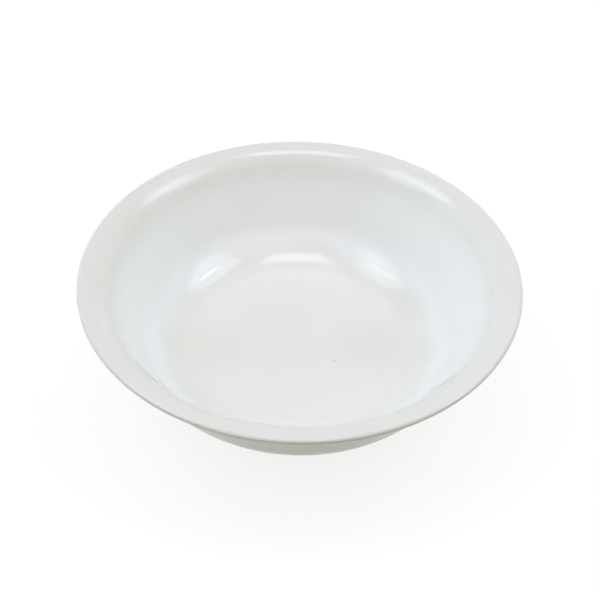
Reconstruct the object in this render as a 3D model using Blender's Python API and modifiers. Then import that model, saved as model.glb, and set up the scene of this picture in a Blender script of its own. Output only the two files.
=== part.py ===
"""A plain glazed cereal bowl with an out-turned lip and a foot ring, in metres, +Z up.

The origin is on the bowl's axis, on the surface that it stands on. The bowl is one turned
body of clay under two separate areas of glaze. The driving sizes are those of the finished
bowl, measured over its glaze, and the clay lies one glaze coat and one seat gap below them.
"""

import math

import bpy
from mathutils import Vector

# Finished bowl
RIM_DIAMETER = 0.160
HEIGHT = 0.047

# Out-turned lip, with a round edge of half its thickness
LIP_THICKNESS = 0.0020
LIP_TILT = math.radians(18.0)
LIP_FLAT = 0.0038
LIP_BEND_RADIUS = 0.0098

# Wall and well
WALL_TILT = math.radians(63.3)
WALL_THICKNESS = 0.0044
COVE_RADIUS = 0.022

# Foot ring, from the standing face up: a bare band, a glazed side and a fillet
FOOT_DIAMETER = 0.086
BARE_BAND_HEIGHT = 0.0014
FOOT_SIDE_HEIGHT = 0.0007
FOOT_FILLET = 0.0020
RECESS_SIDE_HEIGHT = 0.0011
RECESS_FILLET = 0.0010
STANDING_FACE_WIDTH = 0.0020
STANDING_EDGE_RADIUS = 0.0006

# Glaze
GLAZE_THICKNESS = 0.0004
GLAZE_SEAT_GAP = 0.0003

# Facets: how far an arc's chords may leave it, and the number of facets round the bowl
FACET_SAG = 0.00009
TURN_STEPS = 60
MERGE_DISTANCE = 0.00001

RIGHT_ANGLE = math.pi / 2
RIM_RADIUS = RIM_DIAMETER / 2
LIP_EDGE_RADIUS = LIP_THICKNESS / 2
FOOT_RADIUS = FOOT_DIAMETER / 2
CLAY_DEPTH = GLAZE_THICKNESS + GLAZE_SEAT_GAP
FLOOR_HEIGHT = BARE_BAND_HEIGHT + FOOT_SIDE_HEIGHT + FOOT_FILLET + WALL_THICKNESS
RECESS_DEPTH = BARE_BAND_HEIGHT + RECESS_SIDE_HEIGHT + RECESS_FILLET
RECESS_RADIUS = FOOT_RADIUS - STANDING_FACE_WIDTH - 2 * (STANDING_EDGE_RADIUS + CLAY_DEPTH)


def direction(angle):
    """A unit vector in the half section, where x is the radius and y is the height."""
    return Vector((math.cos(angle), math.sin(angle)))


def arc(centre, radius, start, end, facing=1):
    """Stations along an arc: each is a point and the way out of the material there.

    The material is on the centre's side where facing is 1, and on the other side where it is -1.
    """
    facet_angle = 2 * math.acos(1 - FACET_SAG / radius)
    steps = max(1, math.ceil(abs(end - start) / facet_angle))
    angles = [start + (end - start) * step / steps for step in range(steps + 1)]
    return [(centre + radius * direction(angle), facing * direction(angle)) for angle in angles]


def below(stations, depth):
    """The outline that lies this far inside the material, under each station."""
    return [point - depth * outward for point, outward in stations]


def bowl_centres():
    """The centres of the lip's edge, of the bend under the lip, and of the cove."""
    lip_edge = Vector((RIM_RADIUS - LIP_EDGE_RADIUS, HEIGHT - LIP_EDGE_RADIUS))
    lip_upward = direction(LIP_TILT + RIGHT_ANGLE)
    bend = lip_edge - LIP_FLAT * direction(LIP_TILT) - (LIP_BEND_RADIUS - LIP_EDGE_RADIUS) * lip_upward

    wall_upward = direction(WALL_TILT + RIGHT_ANGLE)
    wall_top = bend + LIP_BEND_RADIUS * wall_upward
    cove_rise = COVE_RADIUS * (1 - math.cos(WALL_TILT))
    wall_length = (wall_top.y - FLOOR_HEIGHT - cove_rise) / math.sin(WALL_TILT)
    cove = wall_top - wall_length * direction(WALL_TILT) + COVE_RADIUS * wall_upward
    return lip_edge, bend, cove


def coat_stations():
    """Stations over the finished bowl: from the well's middle, over the lip, to the glaze line."""
    lip_edge, bend, cove = bowl_centres()
    lip_upward = LIP_TILT + RIGHT_ANGLE
    wall_upward = WALL_TILT + RIGHT_ANGLE

    # The foot's fillet touches the belly where the belly has this tilt.
    belly_radius = COVE_RADIUS + WALL_THICKNESS
    fillet_orbit = belly_radius + FOOT_FILLET
    fillet_radius = FOOT_RADIUS + FOOT_FILLET
    foot_tilt = math.asin(max(0.0, fillet_radius - cove.x) / fillet_orbit)
    fillet = Vector((fillet_radius, cove.y - fillet_orbit * math.cos(foot_tilt)))

    well = [(Vector((0.0, FLOOR_HEIGHT)), direction(RIGHT_ANGLE))]
    well += arc(cove, COVE_RADIUS, -RIGHT_ANGLE, WALL_TILT - RIGHT_ANGLE, -1)
    lip = arc(bend, LIP_BEND_RADIUS, wall_upward, lip_upward)
    lip += arc(lip_edge, LIP_EDGE_RADIUS, lip_upward, RIGHT_ANGLE)
    lip += arc(lip_edge, LIP_EDGE_RADIUS, RIGHT_ANGLE, 0.0)[1:]
    lip += arc(lip_edge, LIP_EDGE_RADIUS, 0.0, LIP_TILT - RIGHT_ANGLE)[1:]
    under_lip = arc(bend, LIP_BEND_RADIUS - LIP_THICKNESS, lip_upward, wall_upward, -1)
    belly = arc(cove, belly_radius, WALL_TILT - RIGHT_ANGLE, foot_tilt - RIGHT_ANGLE)
    foot = arc(fillet, FOOT_FILLET, foot_tilt + RIGHT_ANGLE, math.pi, -1)[1:]
    glaze_line = [(Vector((FOOT_RADIUS, BARE_BAND_HEIGHT)), direction(0.0))]
    return well + lip + under_lip + belly + foot + glaze_line


def recess_stations():
    """Stations over the glazed recess: from its glaze line to the middle of the base."""
    fillet = Vector((RECESS_RADIUS - RECESS_FILLET, RECESS_DEPTH - RECESS_FILLET))
    glaze_line = [(Vector((RECESS_RADIUS, BARE_BAND_HEIGHT)), direction(math.pi))]
    corner = arc(fillet, RECESS_FILLET, 0.0, RIGHT_ANGLE, -1)
    middle = [(Vector((0.0, RECESS_DEPTH)), direction(-RIGHT_ANGLE))]
    return glaze_line + corner + middle


def clay_outline():
    """The clay under both areas of glaze, with the bare standing ring between them."""
    outside = below(coat_stations()[:-1], CLAY_DEPTH)
    underside = below(recess_stations()[1:], CLAY_DEPTH)
    outer_edge = Vector((outside[-1].x - STANDING_EDGE_RADIUS, STANDING_EDGE_RADIUS))
    inner_edge = Vector((underside[0].x + STANDING_EDGE_RADIUS, STANDING_EDGE_RADIUS))
    ring = arc(outer_edge, STANDING_EDGE_RADIUS, 0.0, -RIGHT_ANGLE)
    ring += arc(inner_edge, STANDING_EDGE_RADIUS, -RIGHT_ANGLE, -math.pi)
    return outside + below(ring, 0.0) + underside


def coat_outline():
    """The glaze over the inside, the lip and the outside: its face, then its back."""
    stations = coat_stations()
    return below(stations, 0.0) + below(reversed(stations), GLAZE_THICKNESS)


def base_outline():
    """The glaze inside the foot ring: its back, then its face."""
    stations = recess_stations()
    return below(reversed(stations), GLAZE_THICKNESS) + below(stations, 0.0)


def ceramic(name, colour, roughness, coat):
    """A ceramic finish. The colour is linear."""
    finish = bpy.data.materials.new(name)
    finish.use_nodes = True
    shader = finish.node_tree.nodes["Principled BSDF"]
    shader.inputs["Base Color"].default_value = (*colour, 1.0)
    shader.inputs["Roughness"].default_value = roughness
    shader.inputs["Metallic"].default_value = 0.0
    shader.inputs["Coat Weight"].default_value = coat
    return finish


def turned(name, outline, finish, parent, collection):
    """Turn a half section, listed down its outer side, about the bowl's axis."""
    mesh = bpy.data.meshes.new(name)
    points = [(point.x, 0.0, point.y) for point in outline]
    edges = [(index, index + 1) for index in range(len(points) - 1)]
    mesh.from_pydata(points, edges, [])
    mesh.materials.append(finish)

    piece = bpy.data.objects.new(name, mesh)
    piece.parent = parent
    collection.objects.link(piece)

    turn = piece.modifiers.new("turn", "SCREW")
    turn.axis = "Z"
    turn.angle = math.tau
    turn.steps = TURN_STEPS
    turn.render_steps = TURN_STEPS
    turn.use_merge_vertices = True
    turn.merge_threshold = MERGE_DISTANCE
    turn.use_smooth_shade = True


def build_bowl():
    for leftover in list(bpy.data.objects):
        bpy.data.objects.remove(leftover, do_unlink=True)

    collection = bpy.data.collections.new("cereal_bowl")
    bpy.context.scene.collection.children.link(collection)
    axis = bpy.data.objects.new("bowl_axis", None)
    collection.objects.link(axis)

    fired_clay = ceramic("fired_clay", (0.80, 0.76, 0.68), 0.65, 0.0)
    white_glaze = ceramic("white_glaze", (0.76, 0.78, 0.75), 0.10, 0.5)
    base_white_glaze = ceramic("base_white_glaze", (0.74, 0.76, 0.73), 0.14, 0.5)

    turned("clay_body", clay_outline(), fired_clay, axis, collection)
    turned("glaze_coat", coat_outline(), white_glaze, axis, collection)
    turned("base_glaze", base_outline(), base_white_glaze, axis, collection)


build_bowl()
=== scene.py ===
"""A plain cereal bowl in white glaze: its fine turned surfaces, its finishes, the light and the camera.

The bowl is turned about Z and stands on the floor at the origin. All lengths are in metres.
"""

import math

import bpy
from mathutils import Matrix, Vector, noise


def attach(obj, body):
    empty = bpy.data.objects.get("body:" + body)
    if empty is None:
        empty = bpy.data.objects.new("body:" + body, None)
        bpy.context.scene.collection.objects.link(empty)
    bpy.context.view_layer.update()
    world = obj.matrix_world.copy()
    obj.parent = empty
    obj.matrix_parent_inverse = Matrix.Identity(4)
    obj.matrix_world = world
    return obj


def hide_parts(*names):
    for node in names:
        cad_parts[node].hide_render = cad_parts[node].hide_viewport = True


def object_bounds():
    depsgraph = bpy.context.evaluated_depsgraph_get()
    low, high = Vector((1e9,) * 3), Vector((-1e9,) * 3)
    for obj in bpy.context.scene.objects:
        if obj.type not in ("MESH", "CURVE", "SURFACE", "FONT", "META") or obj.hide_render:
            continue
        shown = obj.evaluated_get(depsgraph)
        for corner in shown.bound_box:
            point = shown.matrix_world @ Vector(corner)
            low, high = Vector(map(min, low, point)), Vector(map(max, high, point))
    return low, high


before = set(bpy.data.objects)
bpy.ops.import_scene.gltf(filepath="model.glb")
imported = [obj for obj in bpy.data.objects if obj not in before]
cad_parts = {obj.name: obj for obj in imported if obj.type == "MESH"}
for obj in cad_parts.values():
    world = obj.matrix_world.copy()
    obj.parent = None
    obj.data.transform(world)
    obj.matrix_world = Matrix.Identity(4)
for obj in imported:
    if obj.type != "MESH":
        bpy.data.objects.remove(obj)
cad_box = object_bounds()

BODY = "root"
MM = 0.001
RIGHT_ANGLE = math.pi / 2

# Finished bowl, over its glaze
RIM_RADIUS = (cad_box[1].x - cad_box[0].x) / 2
HEIGHT = cad_box[1].z

# Out-turned lip, with a round edge of half its thickness
LIP_THICKNESS = 2.0 * MM
LIP_TILT = math.radians(18.0)
LIP_FLAT = 3.8 * MM
LIP_BEND_RADIUS = 9.8 * MM
LIP_EDGE_RADIUS = LIP_THICKNESS / 2

# Wall and well
WALL_TILT = math.radians(63.3)
WALL_THICKNESS = 4.4 * MM
COVE_RADIUS = 22.0 * MM

# Foot ring, from the standing face up: a bare band, a glazed side and a fillet
FOOT_RADIUS = 43.0 * MM
BARE_BAND_HEIGHT = 1.4 * MM
FOOT_SIDE_HEIGHT = 0.7 * MM
FOOT_FILLET = 2.0 * MM
STANDING_EDGE_RADIUS = 0.6 * MM
RECESS_RADIUS = 38.4 * MM
RECESS_SIDE_HEIGHT = 1.1 * MM
RECESS_FILLET = 1.0 * MM
FLOOR_HEIGHT = BARE_BAND_HEIGHT + FOOT_SIDE_HEIGHT + FOOT_FILLET + WALL_THICKNESS
RECESS_DEPTH = BARE_BAND_HEIGHT + RECESS_SIDE_HEIGHT + RECESS_FILLET

# Glaze, and the hair by which it clears the clay
GLAZE_THICKNESS = 0.4 * MM
CLAY_CLEARANCE = 0.02 * MM
CLAY_DEPTH = GLAZE_THICKNESS + CLAY_CLEARANCE

# The roll that surface tension leaves at the glaze's edge
GLAZE_ROLL_SWELL = 0.12 * MM
GLAZE_ROLL_REACH = 0.55 * MM
GLAZE_ROLL_LENGTH = 2.2 * GLAZE_ROLL_REACH
GLAZE_ROLL_SPACING = 0.14 * MM
GLAZE_ROLL_TURNS = 8

# Spacing of stations along the half section: on open faces, the lip's bend, round edges and hidden faces
FACE_SPACING = 1.3 * MM
BEND_SPACING = 0.3 * MM
EDGE_SPACING = 0.2 * MM
HIDDEN_SPACING = 3.5 * MM
VISIBLE_SPACINGS = (FACE_SPACING, BEND_SPACING, EDGE_SPACING)
HIDDEN_SPACINGS = (HIDDEN_SPACING, HIDDEN_SPACING, HIDDEN_SPACING)

# Facets round the bowl, and how near two points are, or a point and the axis, to count as one
TURN_FACETS = 360
SAME_PLACE = 0.02 * MM


def hex_linear(colour):
    """The linear RGBA of an sRGB hex colour."""
    channels = [int(colour[start:start + 2], 16) / 255 for start in (0, 2, 4)]
    return (*[c / 12.92 if c <= 0.04045 else ((c + 0.055) / 1.055) ** 2.4 for c in channels], 1.0)


def heading(angle):
    """A unit vector in the half section, where x is the radius and y is the height."""
    return Vector((math.cos(angle), math.sin(angle)))


def arc(centre, radius, start, end, spacing, facing=1):
    """Stations along an arc: each is a point and the way out of the surface there.

    The material is on the centre's side where facing is 1, and on the other side where it is -1.
    """
    steps = max(2, math.ceil(abs(end - start) * radius / spacing))
    angles = [start + (end - start) * step / steps for step in range(steps + 1)]
    return [(centre + radius * heading(angle), facing * heading(angle)) for angle in angles]


def run(start, end, spacing):
    """Stations along a straight run between two stations, without its ends."""
    length = (end[0] - start[0]).length
    steps = max(1, math.ceil(length / spacing))
    return [(start[0].lerp(end[0], step / steps), start[1]) for step in range(1, steps)]


def joined(stretches, spacing):
    """One list of stations from stretches of them, with straight runs between."""
    stations = list(stretches[0])
    for stretch in stretches[1:]:
        stations += run(stations[-1], stretch[0], spacing)
        apart = (stretch[0][0] - stations[-1][0]).length > SAME_PLACE
        stations += stretch if apart else stretch[1:]
    return stations


def sunk(stations, depth):
    """The same stations, this far inside the surface."""
    return [(point - depth * outward, outward) for point, outward in stations]


def bowl_face(face_spacing, bend_spacing, edge_spacing):
    """Stations over the glazed bowl: from the well's middle, over the lip, to the foot's side."""
    lip_up = LIP_TILT + RIGHT_ANGLE
    wall_up = WALL_TILT + RIGHT_ANGLE
    lip_edge = Vector((RIM_RADIUS - LIP_EDGE_RADIUS, HEIGHT - LIP_EDGE_RADIUS))
    bend_top = lip_edge - LIP_FLAT * heading(LIP_TILT)
    bend = bend_top - (LIP_BEND_RADIUS - LIP_EDGE_RADIUS) * heading(lip_up)

    wall_top = bend + LIP_BEND_RADIUS * heading(wall_up)
    cove_rise = COVE_RADIUS * (1 - math.cos(WALL_TILT))
    wall_length = (wall_top.y - FLOOR_HEIGHT - cove_rise) / math.sin(WALL_TILT)
    cove = wall_top - wall_length * heading(WALL_TILT) + COVE_RADIUS * heading(wall_up)

    # The foot's fillet touches the belly where the belly has this tilt.
    belly_radius = COVE_RADIUS + WALL_THICKNESS
    fillet_orbit = belly_radius + FOOT_FILLET
    fillet_radius = FOOT_RADIUS + FOOT_FILLET
    foot_tilt = math.asin((fillet_radius - cove.x) / fillet_orbit)
    fillet = Vector((fillet_radius, cove.y - fillet_orbit * math.cos(foot_tilt)))

    return joined([
        [(Vector((0.0, FLOOR_HEIGHT)), heading(RIGHT_ANGLE))],
        arc(cove, COVE_RADIUS, -RIGHT_ANGLE, WALL_TILT - RIGHT_ANGLE, face_spacing, -1),
        arc(bend, LIP_BEND_RADIUS, wall_up, lip_up, bend_spacing),
        arc(lip_edge, LIP_EDGE_RADIUS, lip_up, LIP_TILT - RIGHT_ANGLE, edge_spacing),
        arc(bend, LIP_BEND_RADIUS - LIP_THICKNESS, lip_up, wall_up, bend_spacing, -1),
        arc(cove, belly_radius, WALL_TILT - RIGHT_ANGLE, foot_tilt - RIGHT_ANGLE, face_spacing),
        arc(fillet, FOOT_FILLET, foot_tilt + RIGHT_ANGLE, math.pi, edge_spacing, -1),
    ], face_spacing)


def recess_face(spacing):
    """Stations over the glazed recess inside the foot ring: from its side to the middle of the base."""
    fillet = Vector((RECESS_RADIUS - RECESS_FILLET, RECESS_DEPTH - RECESS_FILLET))
    return joined([
        arc(fillet, RECESS_FILLET, 0.0, RIGHT_ANGLE, EDGE_SPACING, -1),
        [(Vector((0.0, RECESS_DEPTH)), heading(-RIGHT_ANGLE))],
    ], spacing)


def glaze_roll(radius, side):
    """Stations down a coat's last stretch and round its thick rolled edge.

    The coat lies on the outer side of this radius where side is 1, and on the inner side where it is -1.
    """
    outward = Vector((side, 0.0))
    steps = math.ceil(GLAZE_ROLL_LENGTH / GLAZE_ROLL_SPACING)
    stations = []
    for step in range(steps + 1):
        rise = GLAZE_ROLL_LENGTH * (1 - step / steps)
        swell = GLAZE_ROLL_SWELL * math.exp(-(rise / GLAZE_ROLL_REACH) ** 2)
        height = BARE_BAND_HEIGHT + GLAZE_THICKNESS / 2 + rise
        stations.append((Vector((radius + side * swell, height)), outward))
    roll_radius = (GLAZE_THICKNESS + GLAZE_ROLL_SWELL) / 2
    centre = stations[-1][0] - roll_radius * outward
    for turn in range(1, GLAZE_ROLL_TURNS + 1):
        angle = math.pi * turn / GLAZE_ROLL_TURNS
        way = Vector((side * math.cos(angle), -math.sin(angle)))
        stations.append((centre + roll_radius * way, way))
    return stations


def coat_outline():
    """The glaze over the inside, the lip and the outside: its face, its rolled edge, then its back.

    The last value of each station here is 1 where the melt's ripples move it, and 0 where they do not.
    """
    face = joined([bowl_face(*VISIBLE_SPACINGS), glaze_roll(FOOT_RADIUS, 1)], FACE_SPACING)
    back = sunk(bowl_face(*HIDDEN_SPACINGS), GLAZE_THICKNESS)
    return [(*station, 1.0) for station in face] + [(*station, 0.0) for station in reversed(back)]


def recess_outline():
    """The glaze inside the foot ring: its back, its rolled edge, then its face."""
    roll = list(reversed(glaze_roll(RECESS_RADIUS, -1)))
    face = joined([roll, recess_face(FACE_SPACING)], FACE_SPACING)
    back = sunk(recess_face(HIDDEN_SPACING), GLAZE_THICKNESS)
    return [(*station, 0.0) for station in reversed(back)] + [(*station, 1.0) for station in face]


def clay_outline():
    """The clay under both areas of glaze, with the bare standing ring between them."""
    outside = sunk(bowl_face(*HIDDEN_SPACINGS), CLAY_DEPTH)
    underside = sunk(recess_face(HIDDEN_SPACING), CLAY_DEPTH)
    outer = Vector((FOOT_RADIUS - CLAY_DEPTH - STANDING_EDGE_RADIUS, STANDING_EDGE_RADIUS))
    inner = Vector((RECESS_RADIUS + CLAY_DEPTH + STANDING_EDGE_RADIUS, STANDING_EDGE_RADIUS))
    stations = joined([
        outside,
        arc(outer, STANDING_EDGE_RADIUS, 0.0, -RIGHT_ANGLE, EDGE_SPACING / 2),
        arc(inner, STANDING_EDGE_RADIUS, -RIGHT_ANGLE, -math.pi, EDGE_SPACING / 2),
        underside,
    ], EDGE_SPACING)
    return [(*station, 0.0) for station in stations]


# Small departures from a true turning: an uneven rim from drying and firing, as waves of this many lobes,
# share and phase, and the melt's ripples, of this height and length
RIM_WARP = 0.20 * MM
RIM_WARP_LOBES = ((2, 0.6, 0.9), (3, 0.4, 2.2))
RIPPLES = ((0.030 * MM, 22 * MM), (0.010 * MM, 8 * MM))


def settled(place, angle):
    """A point on the true turning, moved to where drying and firing left it."""
    share = (place.z / HEIGHT) ** 2
    warp = sum(part * math.sin(lobes * angle + phase) for lobes, part, phase in RIM_WARP_LOBES)
    swell = 1 + RIM_WARP * share * warp / RIM_RADIUS
    return Vector((place.x * swell, place.y * swell, place.z))


def flowed(place, outward):
    """A point on a glaze's face, moved by the slow ripples of the melt."""
    lift = sum(height * noise.noise(place / length) for height, length in RIPPLES)
    return place + lift * outward


def turned(name, outline):
    """A closed mesh, turned about the bowl's axis from a half section whose two ends are on the axis."""
    places, faces = [], []
    rings = []
    for point, outward, flow in outline:
        turns = 1 if point.x < SAME_PLACE else TURN_FACETS
        rings.append([len(places) + turn for turn in range(turns)])
        for turn in range(turns):
            angle = math.tau * turn / TURN_FACETS
            spoke = Vector((math.cos(angle), math.sin(angle), 0.0))
            place = point.x * spoke + Vector((0.0, 0.0, point.y))
            if flow:
                place = flowed(place, outward.x * spoke + Vector((0.0, 0.0, outward.y)))
            places.append(settled(place, angle))
    for near, far in zip(rings, rings[1:]):
        for turn in range(TURN_FACETS):
            follow = (turn + 1) % TURN_FACETS
            corners = [ring[step % len(ring)]
                       for ring, step in ((near, turn), (far, turn), (far, follow), (near, follow))]
            faces.append(tuple(dict.fromkeys(corners)))
    mesh = bpy.data.meshes.new(name)
    mesh.from_pydata(places, [], faces)
    mesh.polygons.foreach_set("use_smooth", [True] * len(faces))
    mesh.validate()
    piece = bpy.data.objects.new(name, mesh)
    bpy.context.scene.collection.objects.link(piece)
    return piece


def add_node(tree, kind, settings=None, inputs=None):
    """Add a node. Settings are its own properties; inputs are socket values, or sockets that feed them."""
    made = tree.nodes.new(kind)
    for name, value in (settings or {}).items():
        setattr(made, name, value)
    for socket, value in (inputs or {}).items():
        if isinstance(value, bpy.types.NodeSocket):
            tree.links.new(value, made.inputs[socket])
        else:
            made.inputs[socket].default_value = value
    return made


def new_finish(name):
    """An empty material and its node tree."""
    finish = bpy.data.materials.new(name)
    finish.use_nodes = True
    finish.node_tree.nodes.clear()
    return finish, finish.node_tree


def finish_surface(tree, shader):
    """Make this shader the material's surface."""
    add_node(tree, "ShaderNodeOutputMaterial", inputs={"Surface": shader.outputs[0]})


# Most values of a noise texture lie in this span
NOISE_LOW = 0.3
NOISE_HIGH = 0.7

# Heights where the glaze's colour changes, faster towards the top by this power. This is partly the real
# glaze, which gathers in the cove and drains off the wall and the lip, and partly painted light and shade:
# a whiter cove and lower wall and a darker, warmer lip that stand in for how the light falls.
THICK_GLAZE_AND_PAINTED_LIGHT_FROM = 9.0 * MM
THICK_GLAZE_AND_PAINTED_LIGHT_TO = 16.0 * MM
THIN_GLAZE_AND_PAINTED_SHADE_FROM = 29.0 * MM
THIN_GLAZE_AND_PAINTED_SHADE_TO = 45.0 * MM
THINNING_AND_SHADE_POWER = 2.0

# Clouds in the glaze, and how far they shift those heights; patches of unlike gloss, and by what share of
# the roughness; and the wandering skin
CLOUD_WIDTH = 26 * MM
CLOUD_SHIFT = 6 * MM
GLOSS_PATCH_WIDTH = 9 * MM
GLOSS_SPREAD = 0.3
SKIN_WAVE_WIDTH = 5 * MM
SKIN_WAVE_DEPTH = 0.004 * MM
GLAZE_IOR = 1.52

# Soft spots on the well's floor, a little darker and warmer: place, radius and strength. The fade
# says where a spot starts to fade and where it is gone, as shares of its radius.
WARM_DARK_SPOT_COLOUR = "E0DED6"
WARM_DARK_SPOT_FADE = (0.2, 1.0)
WARM_DARK_SPOTS = (
    ((29 * MM, -3 * MM, 8.5 * MM), 22 * MM, 0.55),
    ((-33 * MM, -6 * MM, 8.5 * MM), 18 * MM, 0.45),
)

# Dark iron specks in the glaze: place, radius and strength
SPECK_COLOUR = "6E675C"
SPECK_FADE = (0.4, 1.3)
SPECKS = (
    ((13.9 * MM, -10.8 * MM, 8.5 * MM), 0.35 * MM, 0.58),
    ((-20.0 * MM, 33.2 * MM, 8.5 * MM), 0.30 * MM, 0.45),
    ((62.2 * MM, 13.5 * MM, 29.5 * MM), 0.35 * MM, 0.22),
)


def spotted(tree, place, colour, spots, fade, tint):
    """A colour with round spots of a tint on it, each at its strength in the middle and fading outwards."""
    for centre, radius, strength in spots:
        away = add_node(tree, "ShaderNodeVectorMath", {"operation": "DISTANCE"}, {0: place, 1: centre})
        share = add_node(tree, "ShaderNodeMapRange", {"interpolation_type": "SMOOTHSTEP"}, {
            "Value": away.outputs["Value"], "From Min": fade[0] * radius, "From Max": fade[1] * radius,
            "To Min": strength, "To Max": 0.0})
        colour = add_node(tree, "ShaderNodeMix", {"data_type": "RGBA"}, {
            "Factor": share.outputs[0], 6: colour, 7: hex_linear(tint)}).outputs[2]
    return colour


def white_glaze(name, level, thick_and_lit, thin_and_shaded, roughness):
    """Opaque white glaze, fired glossy on white stoneware.

    To the eye it is a clean white under a clear wet-looking skin: cooler and whiter in the cove and low on
    the wall, a little warmer and greyer on the lip. That is partly the melt, thicker in the cove and
    thinner on the lip where the clay shows, and partly painted light and shade for how the light falls.
    The melt leaves soft clouds, a surface that wanders slightly, and a few iron specks.
    """
    finish, tree = new_finish(name)
    place = add_node(tree, "ShaderNodeTexCoord").outputs["Object"]
    axes = add_node(tree, "ShaderNodeSeparateXYZ", inputs={"Vector": place})
    clouds = add_node(tree, "ShaderNodeTexNoise", inputs={
        "Vector": place, "Scale": 1 / CLOUD_WIDTH, "Detail": 3.0, "Roughness": 0.5})
    shifted = add_node(tree, "ShaderNodeMath", {"operation": "MULTIPLY_ADD"}, {
        0: clouds.outputs["Fac"], 1: CLOUD_SHIFT, 2: axes.outputs["Z"]})
    # Painted light and shade, in part: whiter in the cove and low on the wall, darker and warmer on the
    # lip, for how the light falls as well as for the glaze's thickness.
    gathered_and_lit = add_node(tree, "ShaderNodeMapRange", {"interpolation_type": "SMOOTHSTEP"}, {
        "Value": shifted.outputs[0],
        "From Min": THICK_GLAZE_AND_PAINTED_LIGHT_FROM + CLOUD_SHIFT / 2, "From Max": THICK_GLAZE_AND_PAINTED_LIGHT_TO + CLOUD_SHIFT / 2})
    climbed = add_node(tree, "ShaderNodeMapRange", inputs={
        "Value": shifted.outputs[0],
        "From Min": THIN_GLAZE_AND_PAINTED_SHADE_FROM + CLOUD_SHIFT / 2, "From Max": THIN_GLAZE_AND_PAINTED_SHADE_TO + CLOUD_SHIFT / 2})
    drained_and_shaded = add_node(tree, "ShaderNodeMath", {"operation": "POWER"}, {
        0: climbed.outputs[0], 1: THINNING_AND_SHADE_POWER})
    cove = add_node(tree, "ShaderNodeMix", {"data_type": "RGBA"}, {
        "Factor": gathered_and_lit.outputs[0], 6: hex_linear(level), 7: hex_linear(thick_and_lit)})
    colour = add_node(tree, "ShaderNodeMix", {"data_type": "RGBA"}, {
        "Factor": drained_and_shaded.outputs[0], 6: cove.outputs[2], 7: hex_linear(thin_and_shaded)}).outputs[2]
    colour = spotted(tree, place, colour, WARM_DARK_SPOTS, WARM_DARK_SPOT_FADE, WARM_DARK_SPOT_COLOUR)
    colour = spotted(tree, place, colour, SPECKS, SPECK_FADE, SPECK_COLOUR)

    polish = add_node(tree, "ShaderNodeTexNoise", inputs={
        "Vector": place, "Scale": 1 / GLOSS_PATCH_WIDTH, "Detail": 4.0})
    gloss = add_node(tree, "ShaderNodeMapRange", inputs={
        "Value": polish.outputs["Fac"], "From Min": NOISE_LOW, "From Max": NOISE_HIGH,
        "To Min": (1 - GLOSS_SPREAD) * roughness, "To Max": (1 + GLOSS_SPREAD) * roughness})
    skin = add_node(tree, "ShaderNodeTexNoise", inputs={
        "Vector": place, "Scale": 1 / SKIN_WAVE_WIDTH, "Detail": 2.0})
    bump = add_node(tree, "ShaderNodeBump", inputs={
        "Strength": 1.0, "Distance": SKIN_WAVE_DEPTH, "Height": skin.outputs["Fac"]})
    shader = add_node(tree, "ShaderNodeBsdfPrincipled", inputs={
        "Base Color": colour, "Roughness": gloss.outputs[0], "IOR": GLAZE_IOR, "Normal": bump.outputs[0]})
    finish_surface(tree, shader)
    return finish


# Bare clay: its grit, drawn about twice as coarse as it is so that it shows; scuffs; the rings that the
# turning tool left, with the turn of the wave texture in one unit of length; and the relief of both
CLAY_COLOUR = "EDE5D6"
GRIT_COLOUR = "D9CDB8"
GRIT_WIDTH = 0.6 * MM
SCUFF_WIDTH = 4 * MM
TOOL_RING_SPACING = 0.6 * MM
WAVE_TURN = 20.0
CLAY_RELIEF = 0.03 * MM
CLAY_IOR = 1.5
CLAY_LEAST_ROUGHNESS = 0.62
CLAY_MOST_ROUGHNESS = 0.82

# Grey from rubbing on tables: its strength on the standing face, and the heights between which it fades out
RUBBED_COLOUR = "A39C90"
RUBBED_STRENGTH = 0.8
RUBBED_TO = 0.1 * MM
UNRUBBED_FROM = 0.5 * MM


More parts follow.
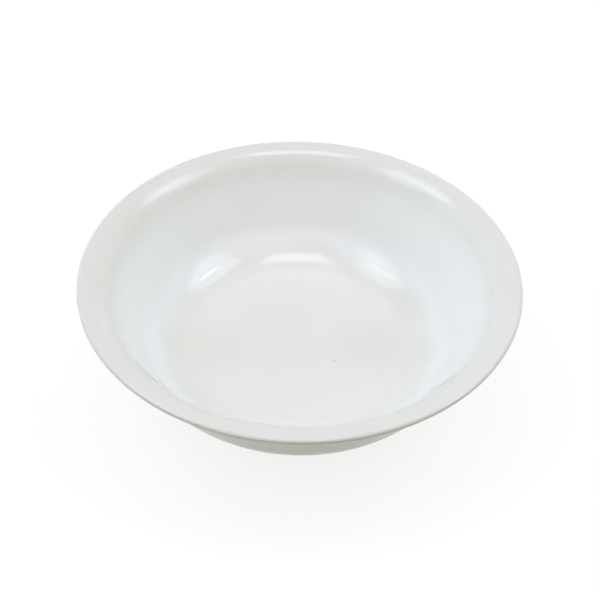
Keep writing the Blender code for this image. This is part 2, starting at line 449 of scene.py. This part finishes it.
def fired_clay(name):
    """Bare white stoneware, sponged before firing.

    To the eye it is a dry, warm off-white with fine grit, faint rings from the turning tool, and a
    greyer standing face where it has rubbed on tables.
    """
    finish, tree = new_finish(name)
    place = add_node(tree, "ShaderNodeTexCoord").outputs["Object"]
    axes = add_node(tree, "ShaderNodeSeparateXYZ", inputs={"Vector": place})
    grit = add_node(tree, "ShaderNodeTexNoise", inputs={
        "Vector": place, "Scale": 1 / GRIT_WIDTH, "Detail": 3.0})
    body = add_node(tree, "ShaderNodeMix", {"data_type": "RGBA"}, {
        "Factor": grit.outputs["Fac"], 6: hex_linear(CLAY_COLOUR), 7: hex_linear(GRIT_COLOUR)})
    scuffs = add_node(tree, "ShaderNodeTexNoise", inputs={
        "Vector": place, "Scale": 1 / SCUFF_WIDTH, "Detail": 5.0, "Roughness": 0.7})
    standing = add_node(tree, "ShaderNodeMapRange", inputs={
        "Value": axes.outputs["Z"], "From Min": RUBBED_TO, "From Max": UNRUBBED_FROM,
        "To Min": RUBBED_STRENGTH, "To Max": 0.0})
    rubbed = add_node(tree, "ShaderNodeMath", {"operation": "MULTIPLY"}, {
        0: standing.outputs[0], 1: scuffs.outputs["Fac"]})
    colour = add_node(tree, "ShaderNodeMix", {"data_type": "RGBA"}, {
        "Factor": rubbed.outputs[0], 6: body.outputs[2], 7: hex_linear(RUBBED_COLOUR)})
    rings = add_node(tree, "ShaderNodeTexWave", {"wave_type": "RINGS", "rings_direction": "Z"}, {
        "Vector": place, "Scale": math.tau / (WAVE_TURN * TOOL_RING_SPACING), "Distortion": 0.6})
    relief = add_node(tree, "ShaderNodeMath", {"operation": "ADD"}, {
        0: rings.outputs["Fac"], 1: grit.outputs["Fac"]})
    bump = add_node(tree, "ShaderNodeBump", inputs={
        "Strength": 0.7, "Distance": CLAY_RELIEF, "Height": relief.outputs[0]})
    roughness = add_node(tree, "ShaderNodeMapRange", inputs={
        "Value": scuffs.outputs["Fac"], "From Min": NOISE_LOW, "From Max": NOISE_HIGH,
        "To Min": CLAY_LEAST_ROUGHNESS, "To Max": CLAY_MOST_ROUGHNESS})
    shader = add_node(tree, "ShaderNodeBsdfPrincipled", inputs={
        "Base Color": colour.outputs[2], "Roughness": roughness.outputs[0], "IOR": CLAY_IOR,
        "Normal": bump.outputs[0]})
    finish_surface(tree, shader)
    return finish


def make_bowl():
    """The bowl's three pieces, each in the place of its CAD node."""
    stoneware = fired_clay("bare_white_stoneware")
    # The glossy glaze's whiter cove colour and darker, warmer lip colour are partly painted light and
    # shade.
    glossy_glaze = white_glaze(
        "glossy_white_glaze", level="E7E7E0", thick_and_lit="F7F8F8", thin_and_shaded="E5E4DF", roughness=0.03)
    thin_glaze = white_glaze(
        "thin_white_glaze", level="E6E5DF", thick_and_lit="E9E9E4", thin_and_shaded="E0DED6", roughness=0.12)
    pieces = (
        ("clay_bowl_and_foot", clay_outline(), stoneware, "clay_body", "fired_clay"),
        ("white_glaze_coat", coat_outline(), glossy_glaze, "glaze_coat", "white_glaze"),
        ("recess_glaze_coat", recess_outline(), thin_glaze, "base_glaze", "base_white_glaze"),
    )
    for name, outline, finish, node, slot in pieces:
        piece = turned(name, outline)
        piece.data.materials.append(finish)
        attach(piece, BODY)
        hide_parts(node)


def seen_directly(tree):
    """1 on rays from the camera, and on those that a glossy or clear surface sends on."""
    path = add_node(tree, "ShaderNodeLightPath")
    mirrored = add_node(tree, "ShaderNodeMath", {"operation": "MAXIMUM"}, {
        0: path.outputs["Is Glossy Ray"], 1: path.outputs["Is Transmission Ray"]})
    return add_node(tree, "ShaderNodeMath", {"operation": "MAXIMUM"}, {
        0: path.outputs["Is Camera Ray"], 1: mirrored.outputs[0]}).outputs[0]


# Floor: the glow and the tone where it is seen, which together come to white under these lights, and the
# tone with which it throws light up at the bowl
FLOOR_REACH = 4.0
FLOOR_DROP = 0.05 * MM
FLOOR_GLOW = 0.83
FLOOR_SEEN_TONE = "818181"
FLOOR_BOUNCE_TONE = "A7A39A"


def make_floor():
    """A plain white sheet that still takes the bowl's shadow."""
    mesh = bpy.data.meshes.new("floor")
    corners = [(x * FLOOR_REACH, y * FLOOR_REACH, -FLOOR_DROP)
               for x, y in ((-1, -1), (1, -1), (1, 1), (-1, 1))]
    mesh.from_pydata(corners, [], [(0, 1, 2, 3)])
    floor = bpy.data.objects.new("floor", mesh)
    bpy.context.scene.collection.objects.link(floor)

    finish, tree = new_finish("white_paper_sheet")
    seen = seen_directly(tree)
    light = add_node(tree, "ShaderNodeMath", {"operation": "MULTIPLY"}, {0: seen, 1: FLOOR_GLOW})
    tone = add_node(tree, "ShaderNodeMix", {"data_type": "RGBA"}, {
        "Factor": seen, 6: hex_linear(FLOOR_BOUNCE_TONE), 7: hex_linear(FLOOR_SEEN_TONE)})
    paper = add_node(tree, "ShaderNodeBsdfDiffuse", inputs={"Color": tone.outputs[2]})
    glowing = add_node(tree, "ShaderNodeEmission", inputs={"Strength": light.outputs[0]})
    finish_surface(tree, add_node(tree, "ShaderNodeAddShader", inputs={
        0: paper.outputs[0], 1: glowing.outputs[0]}))
    mesh.materials.append(finish)


# The room's soft light, as patches above, on the left, on the right, in front and low behind the bowl: each
# patch's colour, its level up to ROOM_LEVEL, and the stretches of direction in which it grows to that level
ROOM_LEVEL = 1.4
ROOM_PATCHES = (
    ("FFEDD7", 0.53, (("Z", 0.6, 1.0),)),
    ("E6FCFF", 1.31, (("X", -0.5, -1.0),)),
    ("E7FFE3", 0.79, (("X", 0.5, 1.0),)),
    ("FFE4C4", 0.59, (("Y", -0.5, -1.0),)),
    ("FFEED6", 0.47, (("Y", 0.3, 0.8), ("Z", 0.95, 0.45))),
)
BACKDROP = "FFFFFF"


def make_surroundings():
    """A soft pale room, which lights the bowl from all round, and a white backdrop where it is seen."""
    world = bpy.data.worlds.new("pale_room")
    bpy.context.scene.world = world
    world.use_nodes = True
    tree = world.node_tree
    tree.nodes.clear()
    way = add_node(tree, "ShaderNodeTexCoord").outputs["Generated"]
    axes = add_node(tree, "ShaderNodeSeparateXYZ", inputs={"Vector": way})
    light = (0.0, 0.0, 0.0, 1.0)
    for colour, level, stretches in ROOM_PATCHES:
        share = level / ROOM_LEVEL
        for axis, start, full in stretches:
            grown = add_node(tree, "ShaderNodeMapRange", {"interpolation_type": "SMOOTHSTEP"}, {
                "Value": axes.outputs[axis], "From Min": start, "From Max": full})
            share = add_node(tree, "ShaderNodeMath", {"operation": "MULTIPLY"}, {
                0: grown.outputs[0], 1: share}).outputs[0]
        light = add_node(tree, "ShaderNodeMix", {"data_type": "RGBA", "blend_type": "ADD"}, {
            "Factor": share, 6: light, 7: hex_linear(colour)}).outputs[2]
    room = add_node(tree, "ShaderNodeBackground", inputs={"Color": light, "Strength": ROOM_LEVEL})
    backdrop = add_node(tree, "ShaderNodeBackground", inputs={
        "Color": hex_linear(BACKDROP), "Strength": 1.0})
    shown = add_node(tree, "ShaderNodeMixShader", inputs={
        0: seen_directly(tree), 1: room.outputs[0], 2: backdrop.outputs[0]})
    add_node(tree, "ShaderNodeOutputWorld", inputs={"Surface": shown.outputs[0]})


# Lights: the ceiling's height, where a panel's border starts and the light left at its edge, how far under
# the ceiling the lamps hang, and each panel's corners
CEILING = 0.80
PANEL_BORDER = 0.92
PANEL_EDGE_LIGHT = 0.4
LAMP_DROP = 10 * MM
OVERHEAD_CORNERS = ((-0.10, -0.01), (0.135, 0.01), (0.11, 0.29), (-0.09, 0.28))
RIGHT_CORNERS = ((0.22, 0.42), (0.25, 0.09), (0.37, -0.05), (0.88, -0.32), (1.14, -0.10), (0.84, 0.37))
LEFT_CORNERS = (
    (-0.16, 0.42), (-0.17, 0.20), (-0.38, -0.21), (-0.79, -0.51), (-0.94, -0.16), (-0.69, 0.26))


def hang_panel(name, corners, colour, radiance):
    """A lit panel across the ceiling, of this radiance, that fades a little at its border."""
    count = len(corners)
    middle = sum((Vector(corner) for corner in corners), Vector((0.0, 0.0))) / count
    inner = [middle.lerp(Vector(corner), PANEL_BORDER) for corner in corners]
    follow = [(side + 1) % count for side in range(count)]
    border = [(side, follow[side], count + follow[side], count + side) for side in range(count)]
    mesh = bpy.data.meshes.new(name)
    mesh.from_pydata([(*place, CEILING) for place in [*corners, *inner]], [],
                     [*border, tuple(range(count, 2 * count))])
    fade = mesh.attributes.new("fade", "FLOAT", "POINT")
    fade.data.foreach_set("value", [PANEL_EDGE_LIGHT] * count + [1.0] * count)
    panel = bpy.data.objects.new(name, mesh)
    bpy.context.scene.collection.objects.link(panel)

    finish, tree = new_finish(name)
    faded = add_node(tree, "ShaderNodeAttribute", {"attribute_name": "fade"})
    level = add_node(tree, "ShaderNodeMath", {"operation": "MULTIPLY"}, {
        0: faded.outputs["Fac"], 1: radiance})
    finish_surface(tree, add_node(tree, "ShaderNodeEmission", inputs={
        "Color": hex_linear(colour), "Strength": level.outputs[0]}))
    mesh.materials.append(finish)


def hang_lamp(name, centre, size, turn, colour, radiance):
    """A small bright lamp just under a panel that faces straight down, of this radiance."""
    lamp = bpy.data.lights.new(name, "AREA")
    lamp.shape = "RECTANGLE"
    lamp.size, lamp.size_y = size
    lamp.color = hex_linear(colour)[:3]
    lamp.energy = radiance * math.pi * size[0] * size[1]
    hung = bpy.data.objects.new(name, lamp)
    hung.location = (*centre, CEILING - LAMP_DROP)
    hung.rotation_euler = (0.0, 0.0, turn)
    bpy.context.scene.collection.objects.link(hung)


def hang_lights():
    """A small panel overhead, and on each side a large cool panel with a brighter lamp under it."""
    hang_panel("overhead_panel", OVERHEAD_CORNERS, colour="FEFBFF", radiance=4.2)
    hang_panel("right_panel", RIGHT_CORNERS, colour="E7EDFF", radiance=3.58)
    hang_panel("left_panel", LEFT_CORNERS, colour="E9F1FF", radiance=3.44)
    hang_lamp("right_lamp", centre=(0.497, 0.187), size=(0.16, 0.08), turn=math.radians(63),
              colour="E7EAFF", radiance=6.5)
    hang_lamp("left_lamp", centre=(-0.455, 0.105), size=(0.26, 0.09), turn=math.radians(-42),
              colour="EAFAFF", radiance=3.0)


# Camera: the photograph's view of the bowl, in a square frame
FRAME_PIXELS = 600
FOCAL_PIXELS = 949.8
SENSOR_WIDTH = 36.0
VIEW_ELEVATION = math.radians(43.79)
VIEW_ROLL = math.radians(1.50)
VIEW_DISTANCE = 0.345
AIM_RIGHT = 0.22 * MM
AIM_UP = -12.25 * MM


def set_camera():
    """A camera in front of the bowl that looks down into it, aimed from the middle of the rim."""
    lens = bpy.data.cameras.new("photo_view")
    lens.sensor_width = SENSOR_WIDTH
    lens.lens = FOCAL_PIXELS * SENSOR_WIDTH / FRAME_PIXELS
    back = Vector((0.0, -math.cos(VIEW_ELEVATION), math.sin(VIEW_ELEVATION)))
    right = Vector((1.0, 0.0, 0.0))
    up = back.cross(right)
    eye = Vector((0.0, 0.0, HEIGHT)) + AIM_RIGHT * right + AIM_UP * up + VIEW_DISTANCE * back
    across = math.cos(VIEW_ROLL) * right + math.sin(VIEW_ROLL) * up
    above = math.cos(VIEW_ROLL) * up - math.sin(VIEW_ROLL) * right
    camera = bpy.data.objects.new("photo_view", lens)
    camera.matrix_world = Matrix.Translation(eye) @ Matrix((across, above, back)).transposed().to_4x4()
    bpy.context.scene.collection.objects.link(camera)
    bpy.context.scene.camera = camera


bpy.context.scene.view_settings.view_transform = "Standard"
make_bowl()
make_floor()
make_surroundings()
hang_lights()
set_camera()
